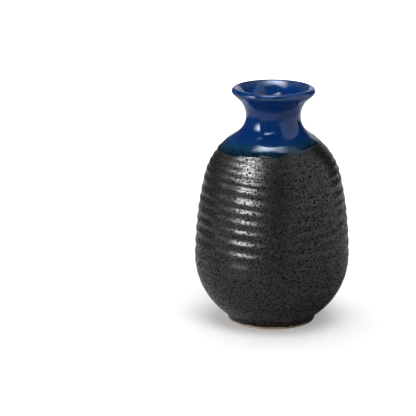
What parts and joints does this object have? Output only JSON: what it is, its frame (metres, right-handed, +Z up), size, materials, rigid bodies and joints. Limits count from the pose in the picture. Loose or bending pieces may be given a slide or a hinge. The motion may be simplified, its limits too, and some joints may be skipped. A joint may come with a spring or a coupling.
{
  "type": "sake bottle",
  "caption": "Stoneware sake bottle with an egg-shaped ringed belly, narrow waisted neck, flaring mouth and turned foot ring, black glazed below and blue above.",
  "frame": {"origin": "centre of the foot ring, on the surface that the bottle stands on", "axes": "+Z up along the bottle's axis of turning, +X towards the side where the blue dip line is highest, +Y away from the front"},
  "size_m": [0.0848, 0.0848, 0.13],
  "materials": {
    "stoneware": "matte",
    "black_iron_glaze": "satin",
    "cobalt_blue_glaze": "gloss",
    "dark_liner_glaze": "gloss",
    "black_base_glaze": "satin"
  },
  "bodies": {
    "root": {"clay_body": "stoneware", "black_glaze": "black_iron_glaze", "blue_glaze": "cobalt_blue_glaze", "inner_glaze": "dark_liner_glaze", "base_glaze": "black_base_glaze"}
  },
  "joints": []
}
